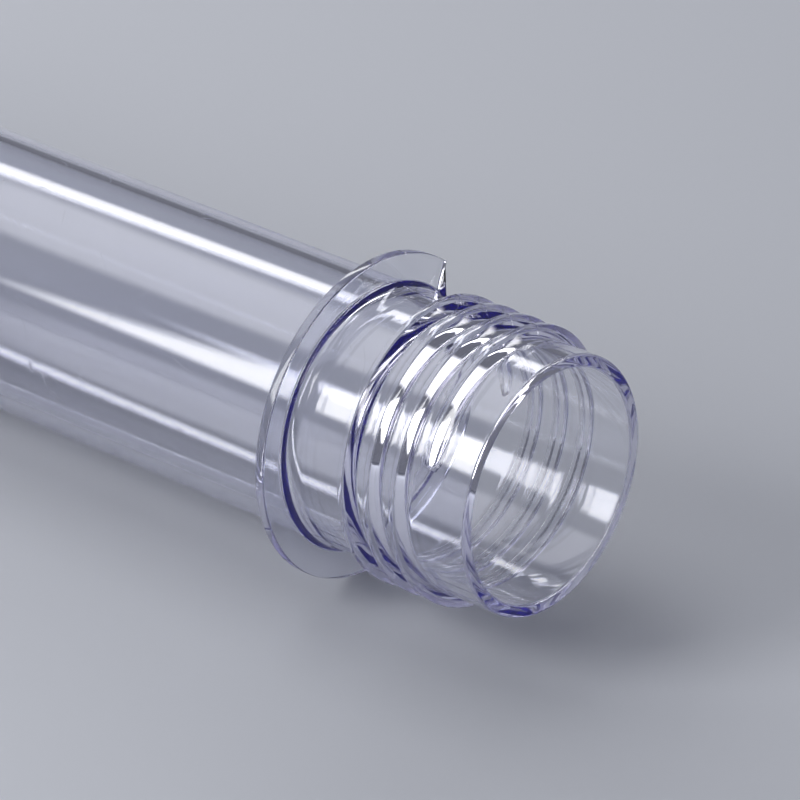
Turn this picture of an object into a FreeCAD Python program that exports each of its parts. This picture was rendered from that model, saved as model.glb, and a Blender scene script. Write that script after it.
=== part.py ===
import FreeCAD, Part
import math
import os
import Sketcher

# Clear plastic test tube with a screw neck, moulded in one piece and lying at rest on its side.
#
# The tube is drawn upright: its axis is Z, its round bottom touches Z = 0 and its mouth is at the top.
# The two halves of its neck mould part at the YZ plane and open along X. The notch in its neck flange
# has one wall along that plane and one square to it. The finished tube is then laid down with its mouth
# towards +X. It touches the ground with its flange and, at the other end, where its round bottom begins.
# Lengths are in millimetres and angles in degrees.

Vector = FreeCAD.Vector
Rotation = FreeCAD.Rotation
Placement = FreeCAD.Placement

SIZES = {
    "tube_length": 140.0,
    "tube_diameter": 25.0,
    "wall_thickness": 1.25,
    "lip_edge_chamfer": 0.2,
    "neck_height": 20.8,
    "flange_overhang": 3.2,
    "flange_thickness": 1.0,
    "flange_root_fillet": 0.5,
    "flange_edge_chamfer": 0.15,
    "notch_along_offset": 4.9,
    "notch_square_offset": 8.0,
    "thread_height": 1.2,
    "thread_pitch": 3.0,
    "thread_turns": 3.44,
    "thread_crest_width": 0.55,
    "thread_front_flank": 32.0,
    "thread_back_flank": 16.0,
    "thread_lip_gap": 4.65,
    "thread_end_angle": 178.0,
    "thread_run_out": 14.0,
    "upward_angle": 113.6,
}

# The ridge starts this far inside the wall. Its two ends dip this far under the wall's surface, and its
# crest narrows to this share of its width there.
THREAD_ROOT_DEPTH = 0.4
THREAD_END_DIP = 0.05
THREAD_END_WIDTH = 0.1
# One section of the ridge is drawn for about this many degrees of turn. Each run-out has this many more.
THREAD_SECTION_STEP = 10.0
RUN_OUT_SECTIONS = 6
# The core that leaves the bore stands this far out of the mouth.
CORE_OVERRUN = 2.0
# Edges are found by their radius and height, to within this distance.
EDGE_TOLERANCE = 0.001
# One turn, in degrees.
FULL_TURN = 360.0

# The height of the flange's back face, and the radii of the tube's outside, its bore and its flange.
FLANGE_BACK = "Sizes.tube_length - Sizes.neck_height - Sizes.flange_thickness"
TUBE_RADIUS = "Sizes.tube_diameter / 2"
BORE_RADIUS = "Sizes.tube_diameter / 2 - Sizes.wall_thickness"
FLANGE_RADIUS = "Sizes.tube_diameter / 2 + Sizes.flange_overhang"

doc = FreeCAD.newDocument("screw_neck_tube")
sheet = doc.addObject("Spreadsheet::Sheet", "Sizes")


def fill_sheet():
    """Write one named cell for each driving size."""
    for row, (alias, value) in enumerate(SIZES.items(), start=1):
        sheet.set(f"A{row}", alias)
        sheet.set(f"B{row}", str(value))
        sheet.setAlias(f"B{row}", alias)
    doc.recompute()


def size(alias):
    """Return a driving size from the sheet."""
    return float(sheet.get(alias))


def flange_back():
    """Return the height of the flange's back face on the upright tube."""
    return size("tube_length") - size("neck_height") - size("flange_thickness")


def tube_radius():
    """Return the radius of the tube's outside."""
    return size("tube_diameter") / 2


def flange_radius():
    """Return the radius of the flange's rim."""
    return tube_radius() + size("flange_overhang")


def new_body(name):
    """Add an empty body."""
    body = doc.addObject("PartDesign::Body", name)
    body.Label = name
    return body


def new_sketch(body, name, role, height=None):
    """Add a sketch on one of the body's origin planes, lifted by an expression where one is given."""
    sketch = body.newObject("Sketcher::SketchObject", name)
    plane = next(item for item in body.Origin.OriginFeatures if item.Role == role)
    sketch.AttachmentSupport = [(plane, "")]
    sketch.MapMode = "FlatFace"
    if height is not None:
        sketch.setExpression("AttachmentOffset.Base.z", height)
    return sketch


def constrain(sketch, kind, *references):
    """Add a constraint that has no size."""
    sketch.addConstraint(Sketcher.Constraint(kind, *references))


def dimension(sketch, name, expression, kind, *references):
    """Add a named constraint whose size comes from an expression."""
    index = sketch.addConstraint(Sketcher.Constraint(kind, *references))
    sketch.renameConstraint(index, name)
    sketch.setExpression(f"Constraints.{name}", expression)


# Where a sketch's own parts are named in a constraint: its two axes, a curve's points, and the origin.
H_AXIS, V_AXIS = range(-1, -3, -1)
START, END, CENTRE = range(1, 4)
ORIGIN = (H_AXIS, START)


def line(sketch, start, end):
    """Draw a line between two (x, y) points."""
    return sketch.addGeometry(Part.LineSegment(Vector(*start, 0), Vector(*end, 0)), False)


def arc(sketch, centre, radius, first, last):
    """Draw an arc, anticlockwise from the first angle to the last, in degrees."""
    circle = Part.Circle(Vector(*centre, 0), Vector(0, 0, 1), radius)
    ends = (math.radians(first), math.radians(last))
    return sketch.addGeometry(Part.ArcOfCircle(circle, *ends), False)


def join(sketch, *pairs):
    """Make each pair of curve ends coincide."""
    for (first, first_end), (second, second_end) in pairs:
        constrain(sketch, "Coincident", first, first_end, second, second_end)


def revolve(body, sketch, name):
    """Turn a half profile a full turn about the tube's axis."""
    feature = body.newObject("PartDesign::Revolution", name)
    feature.Profile = sketch
    feature.ReferenceAxis = (sketch, ["V_Axis"])
    feature.Angle = FULL_TURN
    return feature


def pad(body, sketch, name, length):
    """Raise a sketch along the tube's axis by an expression."""
    feature = body.newObject("PartDesign::Pad", name)
    feature.Profile = sketch
    feature.setExpression("Length", length)
    return feature


def draw_rod_profile(body):
    """Draw half of the tube's outside: a straight side over a round bottom."""
    radius = tube_radius()
    top = size("tube_length")
    sketch = new_sketch(body, "rod_profile", "XZ_Plane")
    axis = line(sketch, (0, 0), (0, top))
    lip = line(sketch, (0, top), (radius, top))
    side = line(sketch, (radius, top), (radius, radius))
    bottom = arc(sketch, (0, radius), radius, -90, 0)
    join(sketch, ((axis, END), (lip, START)), ((lip, END), (side, START)))
    join(sketch, ((side, END), (bottom, END)), ((bottom, START), (axis, START)))
    join(sketch, ((axis, START), ORIGIN))
    constrain(sketch, "Vertical", axis)
    constrain(sketch, "Horizontal", lip)
    constrain(sketch, "Vertical", side)
    constrain(sketch, "PointOnObject", bottom, CENTRE, V_AXIS)
    constrain(sketch, "Horizontal", bottom, CENTRE, bottom, END)
    dimension(sketch, "radius", TUBE_RADIUS, "Radius", bottom, radius)
    dimension(sketch, "height", "Sizes.tube_length", "DistanceY", *ORIGIN, axis, END, top)
    return sketch


def draw_notched_round(body):
    """Draw the flange's outline: a circle with a corner cut out of it.

    The corner lies inside the tube, so that on the finished flange each wall runs into the tube's side.
    """
    radius = flange_radius()
    near = size("notch_along_offset")
    far = size("notch_square_offset")
    corner = (near, far)
    along_end = (near, math.sqrt(radius**2 - near**2))
    square_end = (math.sqrt(radius**2 - far**2), far)
    first = math.degrees(math.atan2(along_end[1], along_end[0]))
    last = math.degrees(math.atan2(square_end[1], square_end[0])) + FULL_TURN
    sketch = new_sketch(body, "flange_outline", "XY_Plane", FLANGE_BACK)
    rim = arc(sketch, (0, 0), radius, first, last)
    along = line(sketch, corner, along_end)
    square = line(sketch, corner, square_end)
    join(sketch, ((along, END), (rim, START)), ((square, END), (rim, END)))
    join(sketch, ((along, START), (square, START)), ((rim, CENTRE), ORIGIN))
    constrain(sketch, "Vertical", along)
    constrain(sketch, "Horizontal", square)
    dimension(sketch, "radius", FLANGE_RADIUS, "Radius", rim, radius)
    along_foot = (*ORIGIN, along, START)
    square_foot = (*ORIGIN, square, START)
    dimension(sketch, "along_offset", "Sizes.notch_along_offset", "DistanceX", *along_foot, near)
    dimension(sketch, "square_offset", "Sizes.notch_square_offset", "DistanceY", *square_foot, far)
    return sketch


def trim_edges(body, base, kind, name, length, places):
    """Round or chamfer the circular edges of a feature that have the given radii and heights."""
    doc.recompute()
    names = []
    for number, edge in enumerate(base.Shape.Edges, start=1):
        if edge.Degenerated or not isinstance(edge.Curve, Part.Circle):
            continue
        curve = edge.Curve
        for edge_radius, height in places:
            near_radius = abs(curve.Radius - edge_radius) < EDGE_TOLERANCE
            if near_radius and abs(curve.Center.z - height) < EDGE_TOLERANCE:
                names.append(f"Edge{number}")
    feature = body.newObject(f"PartDesign::{kind}", name)
    feature.Base = (base, names)
    feature.setExpression("Radius" if kind == "Fillet" else "Size", f"Sizes.{length}")
    return feature


def build_blank():
    """Build the outside of the tube as a solid, without its thread."""
    body = new_body("blank")
    revolve(body, draw_rod_profile(body), "rod")
    flange = pad(body, draw_notched_round(body), "flange", "Sizes.flange_thickness")
    back = flange_back()
    front = back + size("flange_thickness")
    roots = [(tube_radius(), back), (tube_radius(), front)]
    filleted = trim_edges(body, flange, "Fillet", "flange_roots", "flange_root_fillet", roots)
    rims = [(flange_radius(), back), (flange_radius(), front)]
    rimmed = trim_edges(body, filleted, "Chamfer", "flange_rims", "flange_edge_chamfer", rims)
    lip = [(tube_radius(), size("tube_length"))]
    trim_edges(body, rimmed, "Chamfer", "lip_edge", "lip_edge_chamfer", lip)
    doc.recompute()
    return body


def thread_section(turned, total):
    """Return the ridge's outline where it has turned by this many degrees from its lower end.

    The crest is level. Over the run-out at each end it drops along a quarter circle to just under the
    wall's surface, and narrows as it drops. The front flank faces the mouth and slopes more than the back
    flank.
    """
    in_run_out = min(turned / size("thread_run_out"), (total - turned) / size("thread_run_out"), 1)
    share = math.sqrt(1 - (1 - in_run_out) ** 2)
    crest = tube_radius() - THREAD_END_DIP + share * (size("thread_height") + THREAD_END_DIP)
    root = tube_radius() - THREAD_ROOT_DEPTH
    depth = crest - root
    top = size("tube_length") - size("thread_lip_gap")
    middle = top - size("thread_pitch") * (total - turned) / FULL_TURN
    half = size("thread_crest_width") / 2 * (THREAD_END_WIDTH + (1 - THREAD_END_WIDTH) * share)
    front = depth * math.tan(math.radians(size("thread_front_flank")))
    back = depth * math.tan(math.radians(size("thread_back_flank")))
    angle = math.radians(size("thread_end_angle") - total + turned)
    outline = [
        (root, middle - half - back),
        (crest, middle - half),
        (crest, middle + half),
        (root, middle + half + front),
    ]
    points = [Vector(r * math.cos(angle), r * math.sin(angle), z) for r, z in outline]
    return Part.makePolygon(points + points[:1])


def build_thread():
    """Build the helical ridge by carrying its outline round and up the neck."""
    total = size("thread_turns") * FULL_TURN
    run_out = size("thread_run_out")
    quarter = [math.pi / 2 * step / RUN_OUT_SECTIONS for step in range(RUN_OUT_SECTIONS)]
    level = total - 2 * run_out
    count = math.ceil(level / THREAD_SECTION_STEP)
    lower = [run_out * (1 - math.cos(angle)) for angle in quarter]
    middle = [run_out + level * step / count for step in range(count + 1)]
    upper = [total - turned for turned in reversed(lower)]
    sections = [thread_section(turned, total) for turned in lower + middle + upper]
    ridge = doc.addObject("Part::Feature", "thread_ridge")
    ridge.Label = "thread_ridge"
    ridge.Shape = Part.makeLoft(sections, True)
    return ridge


def build_core():
    """Build the core that leaves the bore: a round end, a straight side and a flare at the lip."""
    body = new_body("core")
    outside = tube_radius()
    radius = outside - size("wall_thickness")
    chamfer = size("lip_edge_chamfer")
    lip_height = size("tube_length")
    top = lip_height + CORE_OVERRUN
    sketch = new_sketch(body, "core_profile", "XZ_Plane")
    end = arc(sketch, (0, outside), radius, -90, 0)
    side = line(sketch, (radius, outside), (radius, lip_height - chamfer))
    flare = line(sketch, (radius, lip_height - chamfer), (radius + chamfer, lip_height))
    rise = line(sketch, (radius + chamfer, lip_height), (radius + chamfer, top))
    cap = line(sketch, (radius + chamfer, top), (0, top))
    axis = line(sketch, (0, top), (0, outside - radius))
    join(sketch, ((end, END), (side, START)), ((side, END), (flare, START)))
    join(sketch, ((flare, END), (rise, START)), ((rise, END), (cap, START)))
    join(sketch, ((cap, END), (axis, START)), ((axis, END), (end, START)))
    constrain(sketch, "PointOnObject", end, CENTRE, V_AXIS)
    constrain(sketch, "PointOnObject", axis, START, V_AXIS)
    constrain(sketch, "Vertical", axis)
    constrain(sketch, "Horizontal", end, CENTRE, end, END)
    constrain(sketch, "Vertical", side)
    constrain(sketch, "Vertical", rise)
    constrain(sketch, "Horizontal", cap)
    overrun = f"Sizes.tube_length + {CORE_OVERRUN}"
    flare_ends = (flare, START, flare, END)
    dimension(sketch, "bore_radius", BORE_RADIUS, "Radius", end, radius)
    dimension(sketch, "end_height", TUBE_RADIUS, "DistanceY", *ORIGIN, end, CENTRE, outside)
    dimension(sketch, "flare_width", "Sizes.lip_edge_chamfer", "DistanceX", *flare_ends, chamfer)
    dimension(sketch, "flare_height", "Sizes.lip_edge_chamfer", "DistanceY", *flare_ends, chamfer)
    dimension(sketch, "lip", "Sizes.tube_length", "DistanceY", *ORIGIN, flare, END, lip_height)
    dimension(sketch, "overrun", overrun, "DistanceY", *ORIGIN, axis, START, top)
    revolve(body, sketch, "bore")
    doc.recompute()
    return body


def combine(kind, name, base, tool):
    """Add a boolean of two objects."""
    result = doc.addObject(f"Part::{kind}", name)
    result.Label = name
    result.Base = base
    result.Tool = tool
    doc.recompute()
    return result


def rest_tilt():
    """Return the angle by which the mouth points up when the tube lies on the ground.

    Seen from the side, the ground line touches the circle of the tube's round bottom and the lowest corner
    of the flange's chamfered back edge. The angle is worked out from where that corner lies, along the
    tube and across it, as seen from the circle's centre.
    """
    along = flange_back() + size("flange_edge_chamfer") - tube_radius()
    lean = math.acos(tube_radius() / math.hypot(along, flange_radius()))
    return math.degrees(lean - math.atan2(along, flange_radius()))


def lay_down(tube):
    """Lay the tube on the ground with its mouth towards +X, centred over the origin.

    The side of the tube that lies at the upward angle from +X, on the upright tube, points up.
    """
    roll = Rotation(Vector(0, 0, 1), 180 - size("upward_angle"))
    lie = Rotation(Vector(0, 0, 1), Vector(1, 0, 0))
    tip = Rotation(Vector(0, 1, 0), -rest_tilt())
    turn = tip.multiply(lie).multiply(roll)
    tube.Placement = Placement(Vector(0, 0, 0), turn)
    box = tube.Shape.optimalBoundingBox(False)
    tube.Placement = Placement(Vector(-box.Center.x, -box.Center.y, -box.ZMin), turn)


def check_document():
    """Stop if any object failed to build."""
    for item in doc.Objects:
        if "Invalid" in item.State or "Error" in item.State:
            raise RuntimeError(f"{item.Name} failed: {item.State}")


def check_tube(tube):
    """Stop unless the finished tube is one valid solid."""
    shape = tube.Shape
    if shape.isNull() or not shape.isValid() or len(shape.Solids) != 1:
        raise RuntimeError("the tube is not one valid solid")


fill_sheet()
blank = build_blank()
ridge = build_thread()
core = build_core()
threaded_blank = combine("Fuse", "threaded_blank", blank, ridge)
test_tube = combine("Cut", "test_tube", threaded_blank, core)
lay_down(test_tube)
doc.recompute()
check_document()
check_tube(test_tube)

os.makedirs("parts", exist_ok=True)
test_tube.Shape.exportStep(f"parts/{test_tube.Label}.step")

box = test_tube.Shape.optimalBoundingBox(False)
print(f"volume {test_tube.Shape.Volume / 1000:.3f} cm3, faces {len(test_tube.Shape.Faces)}")
print(f"box {box.XMin:.3f} {box.YMin:.3f} {box.ZMin:.3f} to {box.XMax:.3f} {box.YMax:.3f} {box.ZMax:.3f}")
print(f"tilt at rest {rest_tilt():.3f}")
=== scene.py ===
"""A clear plastic test tube with a screw neck, lying on a pale floor in soft studio light.

The tube is one moulded piece. Its surface is worked out upright, in millimetres and degrees, with its
round bottom on the ground and its mouth at the top, and is then laid down where the solid model lies.
"""

import logging
from dataclasses import dataclass, field
from enum import Enum

import bpy
import numpy as np
from mathutils import Matrix, Vector


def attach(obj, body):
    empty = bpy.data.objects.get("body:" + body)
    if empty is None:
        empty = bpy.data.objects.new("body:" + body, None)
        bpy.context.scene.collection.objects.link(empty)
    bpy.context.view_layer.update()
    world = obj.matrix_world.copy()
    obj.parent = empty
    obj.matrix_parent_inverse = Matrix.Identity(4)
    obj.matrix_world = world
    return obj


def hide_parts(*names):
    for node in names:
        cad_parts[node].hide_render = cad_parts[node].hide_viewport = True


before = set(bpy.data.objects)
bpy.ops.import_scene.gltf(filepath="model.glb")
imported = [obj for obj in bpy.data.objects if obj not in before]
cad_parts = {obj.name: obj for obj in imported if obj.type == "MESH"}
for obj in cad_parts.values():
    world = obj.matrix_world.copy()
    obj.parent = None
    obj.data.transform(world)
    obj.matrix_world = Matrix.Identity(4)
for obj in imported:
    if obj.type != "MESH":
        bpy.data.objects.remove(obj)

LOG = logging.getLogger("test_tube")
MILLIMETRE = 0.001
FULL_TURN = 360.0
RIGHT_ANGLE = 90.0
# Angles from a round end's pole of the rings next to it.
POLE_RINGS = (0.6, 1.5, 3.0)
# A height that caps nothing.
UNCAPPED = 99.0
# The least length that a normal is divided by.
TINY = 1e-12
# How far beyond a notch wall's plane its three columns lie, so that no two of them fall on one line, and
# the height that caps the second.
WALL_STEPS = (0.004, 0.016, 0.02)
WALL_CAP = 0.2

Array = np.ndarray
Colour = tuple[float, float, float]
Span = tuple[float, float]
Socket = bpy.types.NodeSocket
Plug = Socket | float | tuple[float, ...]
Inputs = dict[str | int, Plug]


class NotchWall(Enum):
    """The two flat walls of the notch in the neck flange."""

    ALONG = "along the parting plane of the neck mould"
    SQUARE = "square to the parting plane"


class Sum(Enum):
    """The sums that a Math node works out."""

    PLUS = "ADD"
    MINUS = "SUBTRACT"
    TIMES = "MULTIPLY"
    SIZE = "ABSOLUTE"


def smooth_step(value: Array) -> Array:
    """Return 3x squared less 2x cubed of a value held between 0 and 1."""
    held = np.clip(value, 0.0, 1.0)
    return held * held * (3.0 - 2.0 * held)


def turned_arc(centre: tuple[float, float], radius: float, first: float, last: float, steps: int) -> Array:
    """Return points on an arc, each the centre plus the radius times (cosine, sine) of the angle.

    Args:
        centre: Radius and height of the arc's centre.
        radius: Radius of the arc.
        first: Angle of the first point, from the outward direction towards the mouth.
        last: Angle of the last point.
        steps: Number of equal steps between them.

    Returns:
        One (radius, height) row for each point, both ends among them.
    """
    angle = np.radians(np.linspace(first, last, steps + 1))
    return np.column_stack([centre[0] + radius * np.cos(angle), centre[1] + radius * np.sin(angle)])


def straight(start: tuple[float, float], end: tuple[float, float], steps: int) -> Array:
    """Return points spaced evenly on a line, both ends among them.

    Args:
        start: Radius and height of the first point.
        end: Radius and height of the last point.
        steps: Number of equal steps.

    Returns:
        One (radius, height) row for each point.
    """
    share = np.linspace(0.0, 1.0, steps + 1)[:, None]
    return np.asarray(start) * (1.0 - share) + np.asarray(end) * share


@dataclass(frozen=True)
class Lie:
    """How the upright tube is laid down: one point of its axis, its tilt and the side that is up."""

    bottom_centre: tuple[float, float, float] = (-57.6565, 0.0, 12.5)
    bottom_height: float = 12.5
    tilt: float = 1.72853
    upward_angle: float = 113.6

    def axis(self) -> Array:
        """Return the unit direction from the round bottom to the mouth."""
        tilt = np.radians(self.tilt)
        return np.array([np.cos(tilt), 0.0, np.sin(tilt)])

    def place(self, radius: Array, angle: Array, height: Array) -> Array:
        """Lay points of the upright tube down.

        A point is the bottom's centre, plus its height above that centre along the axis, plus its radius
        across the axis, turned from the upward side by the upward angle less its own angle.

        Args:
            radius: Distance of each point from the axis.
            angle: Angle of each point round the axis, in degrees.
            height: Height of each point on the upright tube.

        Returns:
            The points in metres, one row each.
        """
        tilt = np.radians(self.tilt)
        upward = np.array([-np.sin(tilt), 0.0, np.cos(tilt)])
        sideways = np.array([0.0, 1.0, 0.0])
        turn = np.radians(self.upward_angle - angle.ravel())[:, None]
        along = (height.ravel() - self.bottom_height)[:, None] * self.axis()
        across = radius.ravel()[:, None] * (np.cos(turn) * upward + np.sin(turn) * sideways)
        return (np.asarray(self.bottom_centre) + along + across) * MILLIMETRE


@dataclass(frozen=True)
class Wall:
    """One wall of the notch, as a plane at an offset from the tube's axis."""

    kind: NotchWall
    offset: float

    def angle(self, radius: Array, beyond: Array | float = 0.0) -> Array:
        """Return the angle at which a circle meets the plane moved by distances into the notch.

        The angle's cosine is the offset over the radius for the wall along the parting plane, and its
        sine is that for the wall square to it.

        Args:
            radius: Radius of the circle.
            beyond: Distance into the notch by which the plane is moved.

        Returns:
            The angle in degrees, for each radius or distance.
        """
        share = (self.offset + beyond) / radius
        if self.kind is NotchWall.ALONG:
            return np.degrees(np.arccos(share))
        return np.degrees(np.arcsin(share))


@dataclass
class Columns:
    """The lines along the tube that all its rings share, with what each does at the flange.

    Args:
        start: Angle of the seam, where the rings begin.
        count: Number of evenly spaced columns.
        body_radius: Radius at which the columns have their own angles.
        along: The notch's wall along the parting plane.
        square: The notch's wall square to it.
        parting: Angles of the neck mould's parting lines.
        run_outs: For each end of the thread, its angle and the turn from it to where the ridge is full.
        run_out_columns: Number of columns over each run-out.
        spacing: Least angle between an evenly spaced column and any other.
        edge_radius: Rounding of the notch's edges.
        foot_radius: Rounding of the notch's walls where they meet the neck.
        sunk: Depth under the flange's own surface of what lies in the notch.
        hold: Distance from a wall of the columns that hold the flat surfaces beside it flat.
        shear_reach: Angle from a wall over which the columns lean to lie in its plane.
        ridge_reach: Distance from a parting line at which its ridge ends.
        ridge_width: Distance over which the bell curve of that ridge falls to a share of 1/e.
        ridge_columns: Distances of the extra columns on both sides of a parting line.
        corner_points: Number of columns over each rounded edge and foot of a wall.
    """

    start: float
    count: int
    body_radius: float
    along: Wall
    square: Wall
    parting: tuple[float, ...]
    run_outs: tuple[tuple[float, float], ...]
    run_out_columns: int = 12
    spacing: float = 0.45
    edge_radius: float = 0.1
    foot_radius: float = 0.12
    sunk: float = 0.17
    hold: float = 0.3
    shear_reach: float = 26.0
    ridge_reach: float = 0.3
    ridge_width: float = 0.085
    ridge_columns: tuple[float, ...] = (0.035, 0.07, 0.11, 0.17, 0.26)
    corner_points: int = 4
    angle: Array = field(init=False)
    inset: Array = field(init=False)
    cap: Array = field(init=False)

    def wall_rows(self) -> Array:
        """List the columns at a wall, from the flange into the notch.

        The edge's columns lie on a quarter circle: they stop short of the wall by its radius times one
        less the sine, and sink into the flange by its radius times one less the cosine. The foot's do
        the same outwards.

        Returns:
            Rows of distance beyond the wall, depth under the flange's own surface and greatest height.
        """
        turn = np.radians(np.linspace(0.0, RIGHT_ANGLE, self.corner_points))
        edge = np.column_stack([
            self.edge_radius * (np.sin(turn) - 1.0),
            self.edge_radius * (1.0 - np.cos(turn)),
            np.full(len(turn), UNCAPPED),
        ])
        foot = np.column_stack([
            WALL_STEPS[-1] + self.foot_radius * (1.0 - np.cos(turn)),
            np.full(len(turn), self.sunk),
            self.foot_radius * (1.0 - np.sin(turn)),
        ])
        wall = [[WALL_STEPS[0], self.sunk, UNCAPPED], [WALL_STEPS[1], self.sunk, WALL_CAP]]
        return np.vstack([
            [[-self.hold, 0.0, UNCAPPED]],
            edge,
            wall,
            foot,
            [[self.hold, self.sunk, 0.0]],
        ])

    def __post_init__(self) -> None:
        """Merge the even columns with those at the walls and at the parting lines."""
        even = self.start + FULL_TURN * np.arange(self.count) / self.count
        degree = np.degrees(1.0 / self.body_radius)
        rows = self.wall_rows()
        special = []
        for wall in (self.along, self.square):
            angles = wall.angle(np.full(len(rows), self.body_radius), rows[:, 0])
            special.append(np.column_stack([angles, rows[:, 1:]]))
        steps = np.arange(1, self.run_out_columns + 1) / self.run_out_columns
        closing = 1.0 - np.sin(0.5 * np.pi * steps)
        for end, reach in self.run_outs:
            angles = end + reach * closing
            special.append(self.free_columns(angles[angles < self.start + FULL_TURN]))
        side = np.array(self.ridge_columns)
        near = np.concatenate([-side[::-1], [0.0], side])
        for line in self.parting:
            wrapped = self.start + (line - self.start) % FULL_TURN
            special.append(self.free_columns(wrapped + near * degree))
        merged = np.vstack(special)
        distance = np.abs(even[:, None] - merged[None, :, 0]).min(axis=1)
        kept = even[(distance > self.spacing) | (np.arange(self.count) == 0)]
        inside = self.in_notch(kept)
        plain = self.free_columns(kept)
        plain[inside, 1:] = (self.sunk, 0.0)
        table = np.vstack([plain, merged])
        table = table[np.argsort(table[:, 0], kind="stable")]
        self.angle, self.inset, self.cap = table.T

    def free_columns(self, angles: Array) -> Array:
        """Return rows of angle, no depth and no cap, for columns that the notch doesn't touch."""
        return np.column_stack([angles, np.zeros(len(angles)), np.full(len(angles), UNCAPPED)])

    def in_notch(self, angle: Array) -> Array:
        """Tell which angles at the body lie between the notch's walls.

        Args:
            angle: Angles in degrees.

        Returns:
            True for each angle in the notch.
        """
        low = self.square.angle(np.array(self.body_radius))
        high = self.along.angle(np.array(self.body_radius))
        wrapped = (angle - self.start) % FULL_TURN + self.start
        return (wrapped > low) & (wrapped < high)

    def sheared(self, radius: Array) -> Array:
        """Return each column's angle at each radius.

        A column's shift is that of the wall beside it, times a smooth share that falls to nothing over
        the shear's reach, so that the columns at a wall lie in its plane.

        Args:
            radius: Radii, with one column for each of these columns.

        Returns:
            Angles in degrees, of the same shape.
        """
        shift = np.zeros_like(radius)
        body = np.array(self.body_radius)
        middle = 0.5 * (self.along.angle(body) + self.square.angle(body))
        for wall, side in ((self.along, self.angle > middle), (self.square, self.angle <= middle)):
            foot = wall.angle(body)
            share = np.where(side, smooth_step(1.0 - np.abs(self.angle - foot) / self.shear_reach), 0.0)
            shift += share * (wall.angle(np.maximum(radius, self.body_radius)) - foot)
        return self.angle + shift

    def ridge(self) -> Array:
        """Work out the parting ridges.

        A ridge is a bell curve, one over e to the square of the distance from its line over its width.

        Returns:
            Each column's share of the ridge's height.
        """
        distance = np.full(len(self.angle), np.inf)
        for line in self.parting:
            away = (self.angle - line + FULL_TURN / 2) % FULL_TURN - FULL_TURN / 2
            distance = np.minimum(distance, np.abs(np.radians(away)) * self.body_radius)
        return np.where(distance < self.ridge_reach, np.exp(-(distance / self.ridge_width) ** 2), 0.0)


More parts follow.
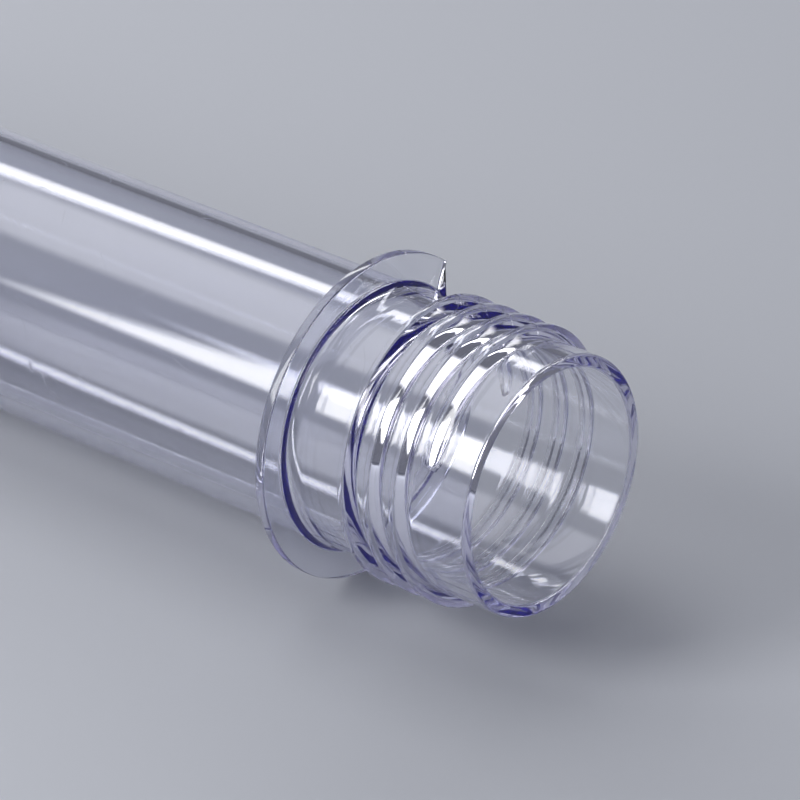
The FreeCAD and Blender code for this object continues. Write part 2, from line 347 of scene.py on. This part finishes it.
@dataclass(frozen=True)
class Thread:
    """The single-start ridge round the neck that a cap screws on to.

    Args:
        height: Height of the crest over the neck.
        pitch: Climb in one turn.
        turns: Number of turns from end to end.
        crest_width: Width of the crest between its flanks.
        front_flank: Lean of the flank towards the mouth, from square to the axis.
        back_flank: Lean of the flank towards the flange.
        lip_gap: Distance from the lip to the crest's middle at the upper end.
        end_angle: Angle of the upper end.
        run_out: Angle over which each end rises to the full height.
        end_dip: Depth under the neck at which an end starts.
        end_width: Share of the crest's width that an end starts with.
        crest_round: Radius of the crest's two arcs.
        foot_round: Radius of the arc at each flank's foot.
        arc_steps: Number of steps in each arc.
        below: Distance from the crest's middle down to the lowest row of a pitch.
        relax_angle: Angle past an end over which the rows spread out again.
        relaxed_share: Share of the ridge's own spacing that they spread out to.
    """

    height: float = 1.2
    pitch: float = 3.0
    turns: float = 3.44
    crest_width: float = 0.55
    front_flank: float = 32.0
    back_flank: float = 16.0
    lip_gap: float = 4.65
    end_angle: float = 178.0
    run_out: float = 14.0
    end_dip: float = 0.05
    end_width: float = 0.1
    crest_round: float = 0.13
    foot_round: float = 0.22
    arc_steps: int = 4
    below: float = 1.3
    relax_angle: float = 25.0
    relaxed_share: float = 0.7

    def total(self) -> float:
        """Return the angle through which the whole ridge turns."""
        return self.turns * FULL_TURN

    def share(self, turned: Array) -> Array:
        """Work out how full the ridge is: one, but along a quarter circle over the run-out at each end.

        Args:
            turned: Angle from the ridge's lower end at each column.

        Returns:
            Shares from 0 to 1.
        """
        inside = np.clip(np.minimum(turned, self.total() - turned) / self.run_out, 0.0, 1.0)
        return np.sqrt(1.0 - (1.0 - inside) ** 2)

    def run_outs(self) -> tuple[tuple[float, float], ...]:
        """Return each end's angle within the turn below the upper end, and the turn to where it is full."""
        lower = self.end_angle - self.total() % FULL_TURN
        return ((self.end_angle, -self.run_out), (lower, self.run_out))

    def flank(self, rise: Array, half: Array, slope: float, full: Array) -> tuple[list[Array], list[Array]]:
        """Trace one side of the ridge from the groove to the crest.

        The flank leans by its slope from square to the axis. A foot arc and a crest arc each turn by a
        right angle less the slope, and touch the flank at their radius times the tangent of half of that.

        Args:
            rise: Height of the crest at each column.
            half: Half of the crest's width at each column.
            slope: Angle of the flank, in degrees.
            full: Share of the full ridge at each column, by which the arcs shrink.

        Returns:
            Distances from the crest's middle and heights, one array for each row of the mesh.
        """
        lean = np.radians(slope)
        turn = 0.5 * np.pi - lean
        foot = self.foot_round * full
        crest = self.crest_round * full
        foot_touch = foot * np.tan(turn / 2)
        crest_touch = crest * np.tan(turn / 2)
        foot_line = half + rise * np.tan(lean)
        away, high = [], []
        for angle in np.linspace(0.0, turn, self.arc_steps + 1):
            away.append(foot_line + foot_touch - foot * np.sin(angle))
            high.append(foot * (1.0 - np.cos(angle)))
        away.append(half + 0.5 * rise * np.tan(lean))
        high.append(0.5 * rise)
        for angle in np.linspace(turn, 0.0, self.arc_steps + 1):
            away.append(half - crest_touch + crest * np.sin(angle))
            high.append(rise - crest * (1.0 - np.cos(angle)))
        return away, high

    def rows(self, turned: Array) -> tuple[Array, Array]:
        """Trace one pitch of the neck, from the groove below the ridge to just before the one above.

        Past its ends the ridge has no height, and its rows spread out again over the relaxing angle.

        Args:
            turned: Angle from the ridge's lower end at each column.

        Returns:
            Distances from the crest's middle, towards the mouth, and heights, one row for each ring.
        """
        full = self.share(turned)
        rise = np.maximum(full * (self.height + self.end_dip) - self.end_dip, 0.0)
        past = np.maximum(-turned, turned - self.total()) / self.relax_angle
        spread = np.maximum(full, self.relaxed_share * smooth_step(past))
        half = 0.5 * self.crest_width * (self.end_width + (1.0 - self.end_width) * spread)
        size = np.maximum(rise, self.relaxed_share * self.height * smooth_step(past))
        away_back, high_back = self.flank(size, half, self.back_flank, spread)
        away_front, high_front = self.flank(size, half, self.front_flank, spread)
        along = [np.full_like(full, -self.below)] + [-a for a in away_back] + [np.zeros_like(full)]
        along += away_front[::-1] + [0.5 * (away_front[0] + self.pitch - self.below)]
        high = [np.zeros_like(full)] + high_back + [size] + high_front[::-1] + [np.zeros_like(full)]
        real = np.where(past > 0.0, 0.0, 1.0)
        return np.array(along), np.array(high) * real


class Bench:
    """A material's or lamp's nodes, with short ways to add and link them.

    Args:
        tree: The node tree to work on.
    """

    def __init__(self, tree: bpy.types.NodeTree) -> None:
        """Take up a node tree."""
        self.tree = tree

    def add(self, kind: str, inputs: Inputs | None = None, **settings: object) -> bpy.types.Node:
        """Add a node.

        Args:
            kind: The node's type, without its prefix.
            inputs: For each input by name or number, a value to set or another node's output to link.
            settings: Properties of the node itself.

        Returns:
            The node.
        """
        node = self.tree.nodes.new(f"ShaderNode{kind}")
        for name, value in settings.items():
            setattr(node, name, value)
        for key, value in (inputs or {}).items():
            if isinstance(value, Socket):
                self.tree.links.new(value, node.inputs[key])
            else:
                node.inputs[key].default_value = value
        return node

    def work(self, kind: Sum, first: Plug, second: Plug = 0.0) -> Socket:
        """Return the output of a Math node."""
        return self.add("Math", {0: first, 1: second}, operation=kind.value).outputs[0]

    def step(self, value: Plug, span: Span, least: float = 0.0, most: float = 1.0) -> Socket:
        """Add a smooth step.

        Args:
            value: What the step follows.
            span: The value at which the step starts and the one at which it ends.
            least: What it gives before its start.
            most: What it gives past its end.

        Returns:
            The step's output.
        """
        levels = {"From Min": span[0], "From Max": span[1], "To Min": least, "To Max": most}
        node = self.add("MapRange", {"Value": value, **levels}, interpolation_type="SMOOTHSTEP")
        return node.outputs["Result"]

    def noise(self, place: Plug, size: float) -> Socket:
        """Add soft noise.

        Args:
            place: Where it is worked out.
            size: About how large its lumps are, in millimetres.

        Returns:
            The noise, from 0 to 1.
        """
        scale = 1.0 / (size * MILLIMETRE)
        node = self.add("TexNoise", {"Vector": place, "Scale": scale, "Detail": 0.0})
        return node.outputs[0]


@dataclass(frozen=True)
class ClearPlastic:
    """Clear moulded plastic with a faint blue-violet cast that deepens along the wall.

    Sizes are in millimetres. Its surface has the long shallow waves of the cooled melt, a fine skin and a
    few hairline scuffs.
    """

    name: str = "clear_blue_plastic"
    tint: Colour = (0.95, 0.958, 0.992)
    streak_tint: Colour = (0.925, 0.934, 0.987)
    deep_tint: Colour = (0.33, 0.27, 0.80)
    depth: float = 20.0
    refraction: float = 1.575
    polish: float = 0.015
    wave_size: float = 9.0
    wave_height: float = 0.035
    wave_stretch: float = 0.22
    streak_levels: Span = (0.35, 0.7)
    skin_size: float = 0.5
    skin_levels: Span = (0.3, 0.75)
    scuff_size: float = 7.0
    scuff_shift: tuple[float, float, float] = (0.31, 0.17, 0.23)
    scuff_levels: Span = (0.62, 0.7)
    scuff_width: float = 0.006
    scuff_roughness: float = 0.25

    def along_tube(self, bench: Bench, lie: Lie) -> Socket:
        """Add the object's coordinates, turned so that X runs along the tube's own axis.

        Args:
            bench: The material's nodes.
            lie: How the tube lies.

        Returns:
            The turned coordinates.
        """
        place = bench.add("TexCoord").outputs["Object"]
        turn = (0.0, np.radians(lie.tilt), 0.0)
        return bench.add("Mapping", {"Vector": place, "Rotation": turn}).outputs["Vector"]

    def scuffs(self, bench: Bench, place: Socket) -> Socket:
        """Mark hairline scuffs.

        A hairline follows the middle level of one noise, and shows only where a second noise is high.

        Args:
            bench: The material's nodes.
            place: Where on the tube the mark is worked out.

        Returns:
            One on a scuff and nothing elsewhere.
        """
        level = bench.noise(place, self.scuff_size)
        away = bench.work(Sum.SIZE, bench.work(Sum.MINUS, level, 0.5))
        line = bench.step(away, (self.scuff_width, 0.0))
        other = bench.add("Mapping", {"Vector": place, "Location": self.scuff_shift}).outputs["Vector"]
        share = bench.step(bench.noise(other, self.scuff_size / 2), self.scuff_levels)
        return bench.work(Sum.TIMES, line, share)

    def build(self, lie: Lie) -> bpy.types.Material:
        """Build the material.

        Args:
            lie: How the tube lies, by which the waves run along it.

        Returns:
            A material whose waves, skin and scuffs all follow the object's own coordinates.
        """
        material = bpy.data.materials.new(self.name)
        material.use_nodes = True
        bench = Bench(material.node_tree)
        shader = bench.tree.nodes["Principled BSDF"]
        output = bench.tree.nodes["Material Output"]
        place = self.along_tube(bench, lie)
        stretch = (self.wave_stretch, 1.0, 1.0)
        stretched = bench.add("Mapping", {"Vector": place, "Scale": stretch}).outputs["Vector"]
        scuffs = self.scuffs(bench, place)
        waves = bench.noise(stretched, self.wave_size)
        skin = bench.noise(place, self.skin_size)
        tint = bench.add("Mix", {0: bench.step(waves, self.streak_levels)}, data_type="RGBA")
        tint.inputs["A"].default_value = (*self.tint, 1.0)
        tint.inputs["B"].default_value = (*self.streak_tint, 1.0)
        polish = bench.step(skin, self.skin_levels, self.polish, 2.0 * self.polish)
        rough = bench.work(Sum.PLUS, polish, bench.work(Sum.TIMES, scuffs, self.scuff_roughness))
        relief = bench.work(Sum.TIMES, waves, self.wave_height)
        bump = bench.add("Bump", {"Height": relief, "Strength": 1.0, "Distance": MILLIMETRE})
        absorb = bench.add("VolumeAbsorption", {"Color": (*self.deep_tint, 1.0), "Density": self.depth})
        shader.inputs["IOR"].default_value = self.refraction
        shader.inputs["Transmission Weight"].default_value = 1.0
        bench.tree.links.new(tint.outputs["Result"], shader.inputs["Base Color"])
        bench.tree.links.new(rough, shader.inputs["Roughness"])
        bench.tree.links.new(bump.outputs["Normal"], shader.inputs["Normal"])
        bench.tree.links.new(absorb.outputs["Volume"], output.inputs["Volume"])
        return material


@dataclass
class TestTube:
    """The whole tube: round bottom, body, notched flange, threaded neck, lip and bore.

    Args:
        length: Length from the round bottom to the lip.
        radius: Outside radius of the body and the neck.
        wall: Thickness of the wall.
        lip_round: Rounding of the lip's two edges.
        neck_height: Height of the neck over the flange.
        flange_overhang: How far the flange stands out from the body.
        flange_thickness: Thickness of the flange.
        flange_fillet: Radius of the flange's root on the body.
        neck_fillet: Width and height of its root on the neck.
        flange_round: Rounding of the rim's edges.
        hold: Distance from a rounding of the ring that holds the surface beside it flat.
        notch_along: Distance from the axis of the notch's wall along the parting plane.
        notch_square: Distance from the axis of the wall square to it.
        ridge_height: Height of the ridges that the neck mould's parting lines leave.
        ridge_fade: Length over which they rise and fall at their ends.
        parting: Angles of the parting lines.
        column_count: Number of evenly spaced columns.
        root_steps: Number of steps in each root's arc.
        rim_steps: Number of steps in each arc of the rim.
        lip_steps: Number of steps in each arc of the lip.
        body_steps: Number of steps along the body.
        bore_steps: Number of steps along the bore.
        outer_end: For the even rings of the round bottom, the first and last angle from the pole and
            their number.
        bore_end: The same for the bore's round end.
        thread: The thread.
        lie: How the tube lies.
        finish: What it is made of.
    """

    length: float = 140.0
    radius: float = 12.5
    wall: float = 1.25
    lip_round: float = 0.2
    neck_height: float = 20.8
    flange_overhang: float = 3.2
    flange_thickness: float = 1.0
    flange_fillet: float = 0.5
    neck_fillet: tuple[float, float] = (0.6, 1.7)
    flange_round: float = 0.15
    hold: float = 0.12
    notch_along: float = 4.9
    notch_square: float = 8.0
    ridge_height: float = 0.03
    ridge_fade: float = 0.4
    parting: tuple[float, float] = (96.0, 242.0)
    column_count: int = 276
    root_steps: int = 6
    rim_steps: int = 5
    lip_steps: int = 6
    body_steps: int = 12
    bore_steps: int = 16
    outer_end: tuple[float, float, int] = (5.0, RIGHT_ANGLE, 23)
    bore_end: tuple[float, float, int] = (86.0, 6.0, 21)
    thread: Thread = field(default_factory=Thread)
    lie: Lie = field(default_factory=Lie)
    finish: ClearPlastic = field(default_factory=ClearPlastic)

    def columns(self) -> Columns:
        """Return the columns that all the rings share."""
        return Columns(
            start=self.thread.end_angle - FULL_TURN,
            count=self.column_count,
            body_radius=self.radius,
            along=Wall(NotchWall.ALONG, self.notch_along),
            square=Wall(NotchWall.SQUARE, self.notch_square),
            parting=self.parting,
            run_outs=self.thread.run_outs(),
        )

    def flange_profile(self) -> Array:
        """Trace the flange's outline from the body over its rim to the neck.

        The root on the body is a concave quarter circle, that on the neck a quarter ellipse that is longer
        along the neck, and each rim edge a convex quarter circle, with straight runs between.

        Returns:
            One (height over the tube, height on the tube) row for each ring.
        """
        back = self.length - self.neck_height - self.flange_thickness
        front = back + self.flange_thickness
        fillet, edge, over = self.flange_fillet, self.flange_round, self.flange_overhang
        hold = self.hold
        angle = np.radians(np.linspace(0.0, RIGHT_ANGLE, self.root_steps + 1))
        root = np.column_stack([fillet * (1 - np.cos(angle)), back - fillet + fillet * np.sin(angle)])
        neck_root = np.column_stack([
            self.neck_fillet[0] * (1 - np.cos(angle)),
            front + self.neck_fillet[1] * (1 - np.sin(angle)),
        ])
        edge_angle = np.radians(np.linspace(0.0, RIGHT_ANGLE, self.rim_steps + 1))
        rim = np.column_stack([
            over - edge + edge * np.sin(edge_angle),
            back + edge * (1 - np.cos(edge_angle)),
        ])
        held = np.array([[0.0, back - fillet - hold]])
        face = straight((fillet + hold, back), (over - edge - hold, back), 2)
        lower = np.vstack([held, root, face, rim])
        outer = np.vstack([face, rim])[::-1].copy()
        outer[:, 1] = back + front - outer[:, 1]
        end = np.array([[0.0, front + self.neck_fillet[1] + hold]])
        return np.vstack([lower, outer, neck_root[::-1], end])

    def lower_rings(self) -> tuple[Array, Array]:
        """Work out the rings from the round bottom's pole, left out, up to under the thread.

        At the flange a column follows the profile, sinks under it by its inset along the profile's own
        normal, and stays under its cap. Where the cap holds it, its heights spread evenly instead.

        Returns:
            Radii and heights, one row for each ring and one column for each column.
        """
        columns = self.columns()
        turn = np.radians(np.concatenate([POLE_RINGS, np.linspace(*self.outer_end)]))
        dome = np.column_stack([self.radius * np.sin(turn), self.radius * (1 - np.cos(turn))])
        profile = self.flange_profile()
        body = straight((self.radius, self.radius), (self.radius, profile[0, 1]), self.body_steps)[1:-1]
        plain = np.vstack([dome, body])
        count = len(columns.angle)
        run = np.diff(profile, axis=0)
        normal = np.column_stack([run[:, 1], -run[:, 0]])
        normal /= np.maximum(np.linalg.norm(normal, axis=1, keepdims=True), TINY)
        normal = np.vstack([normal[:1], 0.5 * (normal[1:] + normal[:-1]), normal[-1:]])
        raised = smooth_step(profile[:, 0] / self.flange_fillet)[:, None]
        over = profile[:, :1] - columns.inset * raised * normal[:, :1]
        spread = np.linspace(profile[0, 1], profile[-1, 1], len(profile))[:, None]
        own = profile[:, 1:] - columns.inset * raised * normal[:, 1:]
        over = np.minimum(np.maximum(over, 0.0), columns.cap)
        height = np.where(columns.cap < 1.0, spread, own)
        radius = np.vstack([np.repeat(plain[:, :1], count, axis=1), self.radius + over])
        height = np.vstack([np.repeat(plain[:, 1:], count, axis=1), height])
        return radius, height

    def upper_rings(self) -> tuple[Array, Array]:
        """Work out the rings from over the thread, round the lip and down the bore to its round end.

        The lip's two edges are convex quarter circles, and the bore ends in half a sphere.

        Returns:
            Radii and heights, one row for each ring and one column for each column.
        """
        edge, steps = self.lip_round, self.lip_steps
        bore = self.radius - self.wall
        hold = self.hold
        outer = turned_arc((self.radius - edge, self.length - edge), edge, 0.0, RIGHT_ANGLE, steps)
        inner = turned_arc((bore + edge, self.length - edge), edge, RIGHT_ANGLE, 2 * RIGHT_ANGLE, steps)
        land = np.array([[self.radius, self.length - edge - hold]])
        face = np.array([[self.radius - edge - hold, self.length], [bore + edge + hold, self.length]])
        side = straight((bore, self.length - edge - hold), (bore, self.radius), self.bore_steps)
        turn = np.radians(np.concatenate([np.linspace(*self.bore_end), POLE_RINGS[::-1]]))
        dome = np.column_stack([bore * np.sin(turn), self.radius - bore * np.cos(turn)])
        line = np.vstack([land, outer, face, inner, side, dome])
        count = len(self.columns().angle)
        return np.repeat(line[:, :1], count, axis=1), np.repeat(line[:, 1:], count, axis=1)

    def thread_rings(self) -> tuple[Array, Array, int]:
        """Work out the rows of the thread, which climb by one pitch in each turn.

        The first pitch of rows fans out from one point of the ring below, and the last closes to one
        point of the ring above, so that a row's end meets the start of the row one pitch higher.

        Returns:
            Radii and heights, with the seam's column at both ends, and the number of rows in a pitch.
        """
        columns = self.columns()
        thread = self.thread
        angle = np.append(columns.angle, columns.start + FULL_TURN)
        share = (angle - columns.start) / FULL_TURN
        whole = int(np.ceil(thread.turns))
        top = self.length - thread.lip_gap
        radii, heights = [], []
        for number in range(whole, -2, -1):
            turned = angle - thread.end_angle - FULL_TURN * number + thread.total()
            along, high = thread.rows(turned)
            crest = top + thread.pitch * ((angle - thread.end_angle) / FULL_TURN - number)
            if number == whole:
                height = crest[0] + thread.pitch - thread.below + share * (along + thread.below)
                high = np.zeros_like(high)
            elif number == -1:
                last = top - thread.below + thread.pitch
                height = last - (1.0 - share) * (thread.pitch - along - thread.below)
                high = np.zeros_like(high)
            else:
                height = crest + along
            radii.append(self.radius + high)
            heights.append(height)
        rows = len(radii[0])
        radii.append(np.full((1, len(angle)), self.radius))
        heights.append(np.full((1, len(angle)), heights[-1][0, -1]))
        return np.vstack(radii), np.vstack(heights), rows

    def mesh_parts(self) -> tuple[Array, Array]:
        """Join all the rings into one closed surface.

        Returns:
            Points in metres and faces of four corners, in which a corner is repeated at a pole.
        """
        columns = self.columns()
        count = len(columns.angle)
        low_radius, low_height = self.lower_rings()
        top_radius, top_height = self.upper_rings()
        thread_radius, thread_height, pitch_rows = self.thread_rings()
        ridge = self.ridge_height * columns.ridge()
        neck_start = self.length - self.neck_height - self.flange_thickness - self.flange_fillet
        for radius, height in ((low_radius, low_height), (top_radius, top_height)):
            outside = radius > self.radius - 0.5 * self.lip_round
            rising = smooth_step((height - neck_start) / self.ridge_fade)
            falling = smooth_step((self.length - height) / self.ridge_fade)
            radius += np.where(outside, rising * falling * ridge, 0.0)
        thread_radius += np.append(ridge, ridge[0])
        seam = np.arange(len(thread_radius))
        first = np.arange(len(thread_radius) * (count + 1)).reshape(len(thread_radius), count + 1)
        last_row = len(thread_radius) - 1
        first[: pitch_rows + 1, 0] = first[0, 0]
        first[seam, count] = first[np.minimum(seam + pitch_rows, last_row), 0]
        thread_angle = np.append(columns.angle, columns.start + FULL_TURN)
        thread_angle = np.broadcast_to(thread_angle, thread_radius.shape)
        top_angle = np.broadcast_to(columns.angle, top_radius.shape)
        thread_points = self.lie.place(thread_radius, thread_angle, thread_height)
        low_points = self.lie.place(low_radius, columns.sheared(low_radius), low_height)
        top_points = self.lie.place(top_radius, top_angle, top_height)
        poles = self.lie.place(np.zeros(2), np.zeros(2), np.array([0.0, self.wall]))
        points = np.vstack([thread_points, low_points, top_points, poles])
        low = len(thread_points) + np.arange(low_radius.size).reshape(low_radius.shape)
        top = len(thread_points) + low_radius.size + np.arange(top_radius.size).reshape(top_radius.shape)
        low, top = (np.column_stack([part, part[:, 0]]) for part in (low, top))
        pole = len(points) - 2
        start = np.full((1, count + 1), pole)
        end = np.full((1, count + 1), pole + 1)
        bottom_ring = first[:1].copy()
        bottom_ring[0, count] = first[0, 0]
        crown = first[last_row:].copy()
        crown[0, count] = crown[0, 0]
        strips = [np.vstack([start, low, bottom_ring]), first, np.vstack([crown, top, end])]
        corners = [np.stack([s[:-1, :-1], s[:-1, 1:], s[1:, 1:], s[1:, :-1]], axis=-1) for s in strips]
        return points, np.vstack([own.reshape(-1, 4) for own in corners])

    def build(self) -> bpy.types.Object:
        """Build the tube's mesh, dress it and set it in the frame.

        Returns:
            The finished piece.
        """
        points, quads = self.mesh_parts()
        piece = mesh_object("clear_test_tube", points, quads)
        piece.data.materials.append(self.finish.build(self.lie))
        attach(piece, "root")
        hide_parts("test_tube")
        return piece


def mesh_object(name: str, points: Array, quads: Array) -> bpy.types.Object:
    """Make a smooth mesh whose faces point outwards.

    Repeated corners are dropped, so that a face of four corners may become one of three or none, and
    points that no face uses go. The faces are turned round where the sum over them of each corner's
    triple product, which is six times the volume, is negative.

    Args:
        name: Name of the object and its mesh.
        points: One row for each point.
        quads: Four corners for each face.

    Returns:
        The object, linked to the scene.
    """
    keep = quads != np.roll(quads, 1, axis=1)
    counts = keep.sum(axis=1)
    keep[counts < 3] = False
    counts = keep.sum(axis=1)
    counts = counts[counts > 0]
    corners = quads[keep]
    used, corners = np.unique(corners, return_inverse=True)
    points = points[used]
    starts = np.concatenate([[0], np.cumsum(counts)[:-1]])
    middle = points.mean(axis=0)
    first = points[corners[starts]] - middle
    second = points[corners[starts + 1]] - middle
    third = points[corners[starts + 2]] - middle
    if np.einsum("ij,ij->i", first, np.cross(second, third)).sum() < 0:
        corners = np.concatenate([part[::-1] for part in np.split(corners, starts[1:])])
    mesh = bpy.data.meshes.new(name)
    mesh.vertices.add(len(points))
    mesh.vertices.foreach_set("co", points.astype(np.float32).ravel())
    mesh.loops.add(len(corners))
    mesh.loops.foreach_set("vertex_index", corners.astype(np.int32))
    mesh.polygons.add(len(counts))
    mesh.polygons.foreach_set("loop_start", starts.astype(np.int32))
    mesh.polygons.foreach_set("use_smooth", np.ones(len(counts), bool))
    mesh.update(calc_edges=True)
    mesh.validate()
    piece = bpy.data.objects.new(name, mesh)
    bpy.context.scene.collection.objects.link(piece)
    return piece


@dataclass(frozen=True)
class SoftLight:
    """A rectangular lamp in a softbox, at a direction and distance from the neck.

    The camera doesn't see it. A lamp that is only mirrored shows in reflections and lights no floor.
    """

    name: str
    azimuth: float
    elevation: float
    distance: float
    width: float
    height: float
    glow: float
    shift: tuple[float, float] = (0.0, 0.0)
    soft_edge: tuple[float, float] = (0.15, 0.15)
    only_mirrored: bool = False

    def feather(self, lamp: bpy.types.AreaLight) -> None:
        """Dim the lamp's face towards its edges.

        The face's glow is multiplied by one smooth step for each of its two directions, which rises from
        nothing at the edge to one at the soft edge's share of the way across.

        Args:
            lamp: The lamp to dim.
        """
        lamp.use_nodes = True
        bench = Bench(lamp.node_tree)
        emission = next(node for node in bench.tree.nodes if node.bl_idname == "ShaderNodeEmission")
        split = bench.add("SeparateXYZ", {"Vector": bench.add("NewGeometry").outputs["Parametric"]})
        steps = []
        for axis, share in zip("XY", self.soft_edge):
            away = bench.work(Sum.SIZE, bench.work(Sum.MINUS, split.outputs[axis], 0.5))
            steps.append(bench.step(away, (0.5, 0.5 - share)))
        bench.tree.links.new(bench.work(Sum.TIMES, *steps), emission.inputs["Strength"])

    def build(self, target: Vector) -> bpy.types.Object:
        """Set the lamp up so that its face looks at the target.

        The lamp's power is its glow times its area times pi, so that its face has that glow.

        Args:
            target: The point that the lamp's own axis passes through, before it is shifted.

        Returns:
            The lamp's object.
        """
        azimuth, elevation = np.radians(self.azimuth), np.radians(self.elevation)
        outward = Vector((
            np.cos(elevation) * np.cos(azimuth),
            np.cos(elevation) * np.sin(azimuth),
            np.sin(elevation),
        ))
        lamp = bpy.data.lights.new(self.name, "AREA")
        lamp.shape = "RECTANGLE"
        lamp.size, lamp.size_y = self.width, self.height
        lamp.energy = self.glow * self.width * self.height * np.pi
        self.feather(lamp)
        lit = bpy.data.objects.new(self.name, lamp)
        lit.visible_camera = False
        lit.visible_diffuse = lit.visible_transmission = not self.only_mirrored
        turn = outward.to_track_quat("Z", "Y").to_matrix()
        side, rise = turn.col[0], turn.col[1]
        place = target + outward * self.distance + side * self.shift[0] + rise * self.shift[1]
        lit.matrix_world = Matrix.Translation(place) @ turn.to_4x4()
        bpy.context.scene.collection.objects.link(lit)
        return lit


@dataclass(frozen=True)
class PhotoCamera:
    """The camera at the photograph's angle: a long lens that looks down on the neck from the front."""

    place: tuple[float, float, float]
    right: tuple[float, float, float]
    down: tuple[float, float, float]
    lens: float = 314.08
    clip: Span = (0.05, 20.0)

    def build(self) -> bpy.types.Object:
        """Make the camera and set it as the scene's own.

        The camera looks against the cross product of its right and up directions.

        Returns:
            The camera's object.
        """
        right, down = Vector(self.right).normalized(), Vector(self.down)
        down = (down - right * down.dot(right)).normalized()
        back = right.cross(-down)
        data = bpy.data.cameras.new("photo_camera")
        data.lens = self.lens
        data.clip_start, data.clip_end = self.clip
        camera = bpy.data.objects.new("photo_camera", data)
        turn = Matrix((right, -down, back)).transposed()
        camera.matrix_world = Matrix.Translation(Vector(self.place)) @ turn.to_4x4()
        bpy.context.scene.collection.objects.link(camera)
        bpy.context.scene.camera = camera
        return camera


@dataclass
class Studio:
    """The pale floor, the soft lamps and the world."""

    floor_size: float = 6.0
    floor_colour: Colour = (0.66, 0.68, 0.73)
    floor_roughness: float = 0.7
    surroundings: Colour = (0.15, 0.155, 0.18)
    bounces: int = 256
    floor_bounces: int = 2
    target: tuple[float, float, float] = (0.055, 0.0, 0.016)
    lamps: tuple[SoftLight, ...] = (
        SoftLight(
            name="left_softbox",
            azimuth=-137.0,
            elevation=33.0,
            distance=0.4,
            width=0.17,
            height=0.26,
            glow=7.0,
            shift=(0.085, 0.0),
        ),
        SoftLight(
            name="back_strip",
            azimuth=140.0,
            elevation=36.0,
            distance=0.55,
            width=0.8,
            height=0.085,
            glow=7.0,
            soft_edge=(0.1, 0.4),
        ),
        SoftLight(
            name="top_softbox",
            azimuth=180.0,
            elevation=60.0,
            distance=0.6,
            width=0.5,
            height=0.42,
            glow=1.7,
        ),
        SoftLight(
            name="mouth_softbox",
            azimuth=21.0,
            elevation=11.5,
            distance=0.6,
            width=0.8,
            height=0.24,
            glow=11.0,
            soft_edge=(0.1, 0.1),
            only_mirrored=True,
        ),
    )

    def build_floor(self) -> bpy.types.Object:
        """Lay one flat square under the tube.

        Returns:
            The floor's object.
        """
        half = self.floor_size / 2
        corners = [(-half, -half, 0.0), (half, -half, 0.0), (half, half, 0.0), (-half, half, 0.0)]
        mesh = bpy.data.meshes.new("pale_floor")
        mesh.from_pydata(corners, [], [(0, 1, 2, 3)])
        floor = bpy.data.objects.new("pale_floor", mesh)
        bpy.context.scene.collection.objects.link(floor)
        material = bpy.data.materials.new("pale_floor_paint")
        material.use_nodes = True
        shader = material.node_tree.nodes["Principled BSDF"]
        shader.inputs["Base Color"].default_value = (*self.floor_colour, 1.0)
        shader.inputs["Roughness"].default_value = self.floor_roughness
        shader.inputs["Specular IOR Level"].default_value = 0.0
        mesh.materials.append(material)
        return floor

    def build_world(self) -> None:
        """Fill the surroundings with an even dim grey, which the lamps stand out from."""
        world = bpy.data.worlds.new("studio_world")
        bpy.context.scene.world = world
        world.use_nodes = True
        background = world.node_tree.nodes["Background"]
        background.inputs["Color"].default_value = (*self.surroundings, 1.0)
        background.inputs["Strength"].default_value = 1.0

    def build(self) -> None:
        """Set up the whole studio."""
        self.build_floor()
        self.build_world()
        for lamp in self.lamps:
            lamp.build(Vector(self.target))
        scene = bpy.context.scene
        scene.view_settings.view_transform = "Standard"
        scene.cycles.max_bounces = self.bounces
        scene.cycles.glossy_bounces = self.bounces
        scene.cycles.transmission_bounces = self.bounces
        scene.cycles.diffuse_bounces = self.floor_bounces
        scene.cycles.use_light_tree = False


# The camera's right, down and view directions, as shares of the tube's parting, opening and tail ones.
CAMERA_TURN = (
    (0.24138, 0.60042, -0.76238),
    (-0.95336, 0.0, -0.30185),
    (-0.18124, 0.79968, 0.57242),
)
# Where the lip's centre lies from the lens: to the right, down and along the view.
LIP_OFFSET = (13.67, 7.79, 627.218)


def photo_camera(lie: Lie, length: float) -> PhotoCamera:
    """Place the photograph's camera by the tube's own axes.

    The camera's right and down directions are sums of the tube's upward-turned, mould-opening and
    bottomward directions, and the lip's centre lies at a known offset in front of the lens.

    Args:
        lie: How the tube lies.
        length: Length of the tube.

    Returns:
        The camera's description.
    """
    tilt = np.radians(lie.tilt)
    upward = np.array([-np.sin(tilt), 0.0, np.cos(tilt)])
    sideways = np.array([0.0, 1.0, 0.0])
    opening_turn = np.radians(lie.upward_angle)
    opening = np.cos(opening_turn) * upward + np.sin(opening_turn) * sideways
    parting_turn = opening_turn - np.pi / 2
    parting = np.cos(parting_turn) * upward + np.sin(parting_turn) * sideways
    tail = -lie.axis()
    tube_axes = np.array([parting, opening, tail])
    right, down, view = np.array(CAMERA_TURN) @ tube_axes
    lip = np.asarray(lie.bottom_centre) + (length - lie.bottom_height) * lie.axis()
    place = (lip - np.array(LIP_OFFSET) @ np.array([right, down, view])) * MILLIMETRE
    return PhotoCamera(tuple(place), tuple(right), tuple(down))


def main() -> None:
    """Build the studio and the tube."""
    logging.basicConfig(level=logging.INFO, format="%(name)s: %(message)s")
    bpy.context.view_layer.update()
    tube = TestTube()
    Studio().build()
    photo_camera(tube.lie, tube.length).build()
    piece = tube.build()
    LOG.info("%s has %d points and %d faces", piece.name, len(piece.data.vertices), len(piece.data.polygons))
    bpy.context.view_layer.update()


if __name__ == "__main__":
    main()
